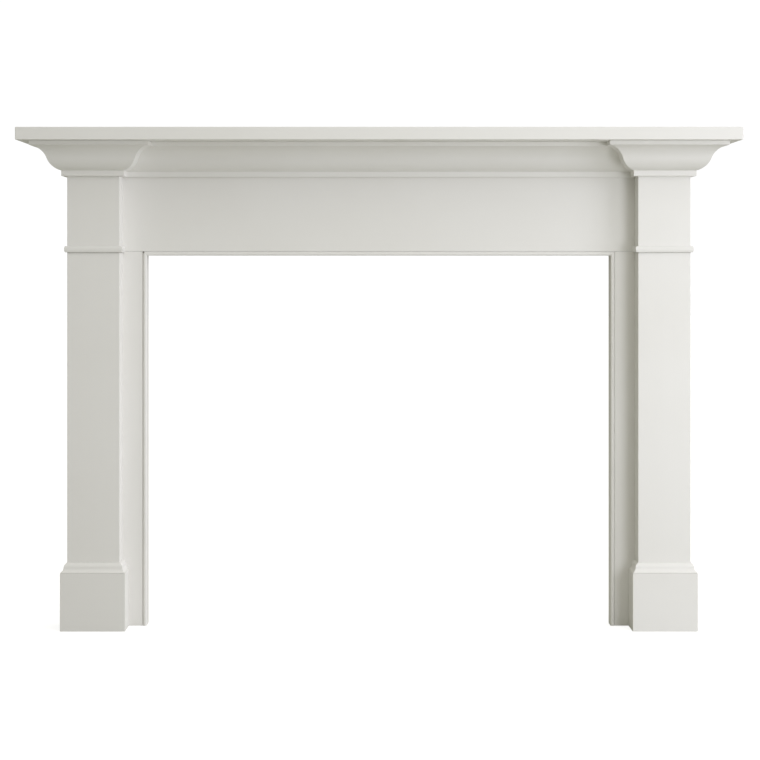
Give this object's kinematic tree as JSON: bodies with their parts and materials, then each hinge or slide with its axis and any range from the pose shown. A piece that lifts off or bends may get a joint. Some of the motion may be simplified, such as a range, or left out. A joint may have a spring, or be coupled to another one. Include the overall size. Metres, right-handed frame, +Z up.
{
  "type": "fireplace mantelpiece",
  "caption": "Painted wooden fireplace surround with a deep shelf over mitred crown moulding, box pilasters on plinths and a beaded lining round a rectangular fire opening.",
  "frame": {"origin": "on the floor, under the middle of the object's overall box: half way along the shelf and half way through its depth", "axes": "+Z up; the front faces -Y and the back, which stands against the wall, faces +Y; +X is to the right seen from the front"},
  "size_m": [1.9304, 0.2217, 1.3583],
  "materials": {
    "painted_boards": "boards in satin off-white paint, lightly brushed",
    "painted_mouldings": "mouldings in satin off-white paint, lightly brushed"
  },
  "bodies": {
    "root": {"mantel_shelf": "painted_boards", "frieze_board": "painted_boards", "stile_left": "painted_boards", "stile_right": "painted_boards", "pilaster_left_outer": "painted_boards", "pilaster_left_front": "painted_boards", "pilaster_left_inner": "painted_boards", "pilaster_right_inner": "painted_boards", "pilaster_right_front": "painted_boards", "pilaster_right_outer": "painted_boards", "plinth_left_outer": "painted_boards", "plinth_left_front": "painted_boards", "plinth_left_inner": "painted_boards", "plinth_right_inner": "painted_boards", "plinth_right_front": "painted_boards", "plinth_right_outer": "painted_boards", "crown_left_return": "painted_mouldings", "crown_left_break": "painted_mouldings", "crown_left_inner": "painted_mouldings", "crown_centre": "painted_mouldings", "crown_right_inner": "painted_mouldings", "crown_right_break": "painted_mouldings", "crown_right_return": "painted_mouldings", "neck_left_outer": "painted_mouldings", "neck_left_front": "painted_mouldings", "neck_left_inner": "painted_mouldings", "neck_right_inner": "painted_mouldings", "neck_right_front": "painted_mouldings", "neck_right_outer": "painted_mouldings", "cap_left_outer": "painted_mouldings", "cap_left_front": "painted_mouldings", "cap_left_inner": "painted_mouldings", "cap_right_inner": "painted_mouldings", "cap_right_front": "painted_mouldings", "cap_right_outer": "painted_mouldings", "trim_left": "painted_mouldings", "trim_head": "painted_mouldings", "trim_right": "painted_mouldings"}
  },
  "joints": []
}
